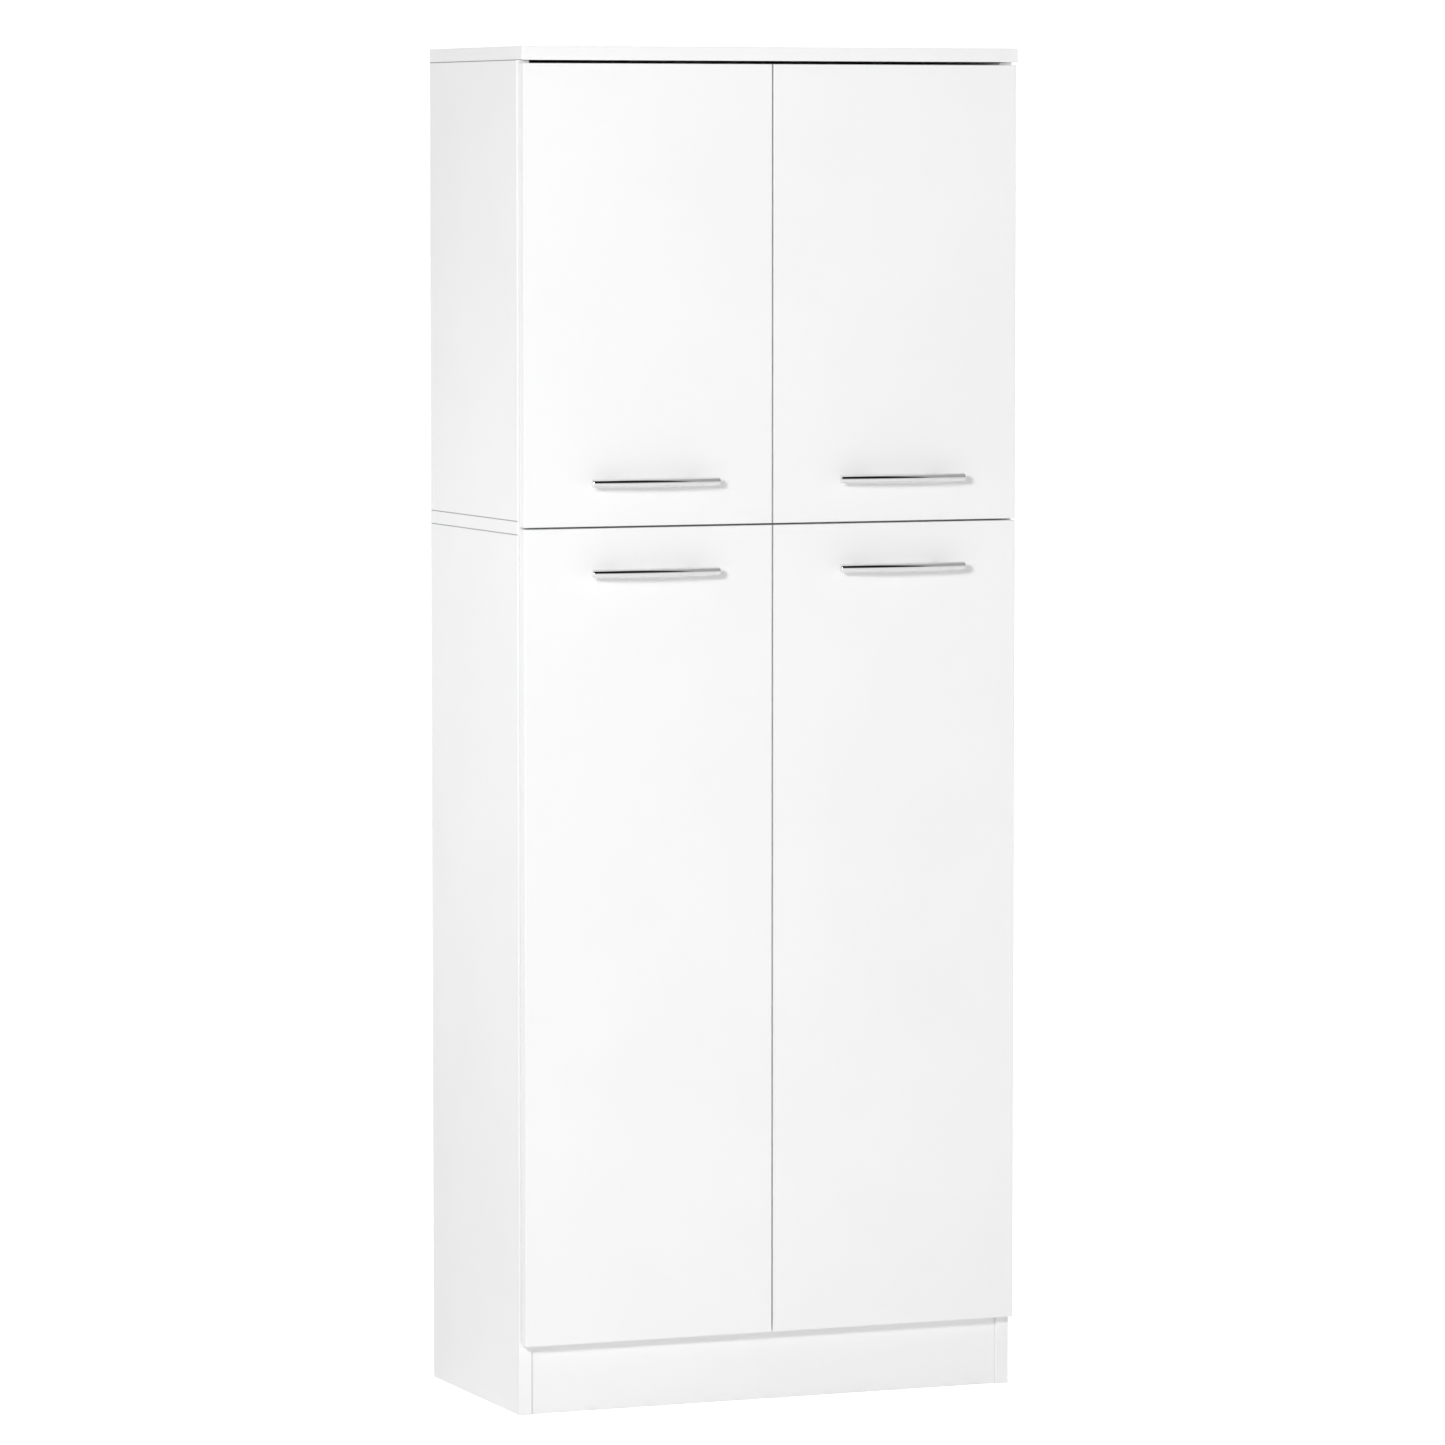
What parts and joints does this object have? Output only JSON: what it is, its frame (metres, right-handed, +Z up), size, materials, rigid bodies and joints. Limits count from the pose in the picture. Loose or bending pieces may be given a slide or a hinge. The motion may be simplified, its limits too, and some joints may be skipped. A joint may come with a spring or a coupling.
{
  "type": "pantry cabinet",
  "caption": "Tall white freestanding pantry cabinet with upper and lower pairs of hinged doors, chrome bow handles, concealed hinges and adjustable shelves.",
  "frame": {"origin": "on the floor, under the middle of the bounding box", "axes": "+Z up; doors face -Y; +X to the right for someone facing the doors"},
  "size_m": [0.597, 0.337, 1.524],
  "materials": {
    "white_board": "white satin melamine facing",
    "door_board": "white satin melamine facing",
    "hardboard": "thin fibreboard, white front, brown rear",
    "handle_chrome": "polished chrome plate",
    "nickel_steel": "satin nickel plate",
    "bright_steel": "zinc plate",
    "zinc": "die-cast zinc",
    "beech": "raw beech",
    "clear_bumper": "soft translucent dot"
  },
  "bodies": {
    "cabinet": {"arm_screws": "bright_steel", "back_panel_nails": "bright_steel", "bottom_panel": "white_board", "cam_bolts": "bright_steel", "cam_locks": "zinc", "door_bumpers": "clear_bumper", "dowels": "beech", "lower_back_panel": "hardboard", "lower_left_hinge_arms": "nickel_steel", "lower_left_mounting_plates": "nickel_steel", "lower_left_side": "white_board", "lower_right_hinge_arms": "nickel_steel", "lower_right_mounting_plates": "nickel_steel", "lower_right_side": "white_board", "lower_shelf_high": "white_board", "lower_shelf_low": "white_board", "middle_panel": "white_board", "plate_screws": "bright_steel", "plinth_board": "white_board", "shelf_pins": "bright_steel", "top_panel": "white_board", "upper_back_panel": "hardboard", "upper_left_hinge_arms": "nickel_steel", "upper_left_mounting_plates": "nickel_steel", "upper_left_side": "white_board", "upper_right_hinge_arms": "nickel_steel", "upper_right_mounting_plates": "nickel_steel", "upper_right_side": "white_board", "upper_shelf": "white_board"},
    "upper_left_door": {"upper_left_door": "door_board", "upper_left_handle": "handle_chrome", "upper_left_handle_screws": "bright_steel", "upper_left_hinge_cups": "nickel_steel", "upper_left_cup_screws": "bright_steel"},
    "upper_left_outer_links": {"upper_left_outer_links": "nickel_steel"},
    "upper_left_inner_links": {"upper_left_inner_links": "nickel_steel"},
    "upper_right_door": {"upper_right_door": "door_board", "upper_right_handle": "handle_chrome", "upper_right_handle_screws": "bright_steel", "upper_right_hinge_cups": "nickel_steel", "upper_right_cup_screws": "bright_steel"},
    "upper_right_outer_links": {"upper_right_outer_links": "nickel_steel"},
    "upper_right_inner_links": {"upper_right_inner_links": "nickel_steel"},
    "lower_left_door": {"lower_left_door": "door_board", "lower_left_handle": "handle_chrome", "lower_left_handle_screws": "bright_steel", "lower_left_hinge_cups": "nickel_steel", "lower_left_cup_screws": "bright_steel"},
    "lower_left_outer_links": {"lower_left_outer_links": "nickel_steel"},
    "lower_left_inner_links": {"lower_left_inner_links": "nickel_steel"},
    "lower_right_door": {"lower_right_door": "door_board", "lower_right_handle": "handle_chrome", "lower_right_handle_screws": "bright_steel", "lower_right_hinge_cups": "nickel_steel", "lower_right_cup_screws": "bright_steel"},
    "lower_right_outer_links": {"lower_right_outer_links": "nickel_steel"},
    "lower_right_inner_links": {"lower_right_inner_links": "nickel_steel"}
  },
  "joints": [
    {"name": "upper_left_outer_link_pivot", "type": "hinge", "parent": "cabinet", "child": "upper_left_outer_links", "pos_m": [-0.269, -0.1145, 1.25], "axis": [0, 0, 1], "range_deg": [0, 30.6]},
    {"name": "upper_left_door_hinge", "type": "hinge", "parent": "upper_left_outer_links", "child": "upper_left_door", "pos_m": [-0.287, -0.1266, 1.25], "axis": [0, 0, -1], "range_deg": [0, 125.59]},
    {"name": "upper_left_inner_link_pivot", "type": "hinge", "parent": "cabinet", "child": "upper_left_inner_links", "pos_m": [-0.2645, -0.1283, 1.25], "axis": [0, 0, 1], "range_deg": [0, 30.9]},
    {"name": "upper_right_outer_link_pivot", "type": "hinge", "parent": "cabinet", "child": "upper_right_outer_links", "pos_m": [0.269, -0.1145, 1.25], "axis": [0, 0, -1], "range_deg": [0, 30.6]},
    {"name": "upper_right_door_hinge", "type": "hinge", "parent": "upper_right_outer_links", "child": "upper_right_door", "pos_m": [0.287, -0.1266, 1.25], "axis": [0, 0, 1], "range_deg": [0, 125.59]},
    {"name": "upper_right_inner_link_pivot", "type": "hinge", "parent": "cabinet", "child": "upper_right_inner_links", "pos_m": [0.2645, -0.1283, 1.25], "axis": [0, 0, -1], "range_deg": [0, 30.9]},
    {"name": "lower_left_outer_link_pivot", "type": "hinge", "parent": "cabinet", "child": "lower_left_outer_links", "pos_m": [-0.269, -0.1145, 0.535], "axis": [0, 0, 1], "range_deg": [0, 30.6]},
    {"name": "lower_left_door_hinge", "type": "hinge", "parent": "lower_left_outer_links", "child": "lower_left_door", "pos_m": [-0.287, -0.1266, 0.535], "axis": [0, 0, -1], "range_deg": [0, 125.59]},
    {"name": "lower_left_inner_link_pivot", "type": "hinge", "parent": "cabinet", "child": "lower_left_inner_links", "pos_m": [-0.2645, -0.1283, 0.535], "axis": [0, 0, 1], "range_deg": [0, 30.9]},
    {"name": "lower_right_outer_link_pivot", "type": "hinge", "parent": "cabinet", "child": "lower_right_outer_links", "pos_m": [0.269, -0.1145, 0.535], "axis": [0, 0, -1], "range_deg": [0, 30.6]},
    {"name": "lower_right_door_hinge", "type": "hinge", "parent": "lower_right_outer_links", "child": "lower_right_door", "pos_m": [0.287, -0.1266, 0.535], "axis": [0, 0, 1], "range_deg": [0, 125.59]},
    {"name": "lower_right_inner_link_pivot", "type": "hinge", "parent": "cabinet", "child": "lower_right_inner_links", "pos_m": [0.2645, -0.1283, 0.535], "axis": [0, 0, -1], "range_deg": [0, 30.9]}
  ],
  "couplings": [
    {"joint": "upper_left_outer_link_pivot", "follows": "upper_left_door_hinge", "ratio": 0.24357},
    {"joint": "upper_left_inner_link_pivot", "follows": "upper_left_door_hinge", "ratio": 0.24584},
    {"joint": "upper_right_outer_link_pivot", "follows": "upper_right_door_hinge", "ratio": 0.24357},
    {"joint": "upper_right_inner_link_pivot", "follows": "upper_right_door_hinge", "ratio": 0.24584},
    {"joint": "lower_left_outer_link_pivot", "follows": "lower_left_door_hinge", "ratio": 0.24357},
    {"joint": "lower_left_inner_link_pivot", "follows": "lower_left_door_hinge", "ratio": 0.24584},
    {"joint": "lower_right_outer_link_pivot", "follows": "lower_right_door_hinge", "ratio": 0.24357},
    {"joint": "lower_right_inner_link_pivot", "follows": "lower_right_door_hinge", "ratio": 0.24584}
  ]
}
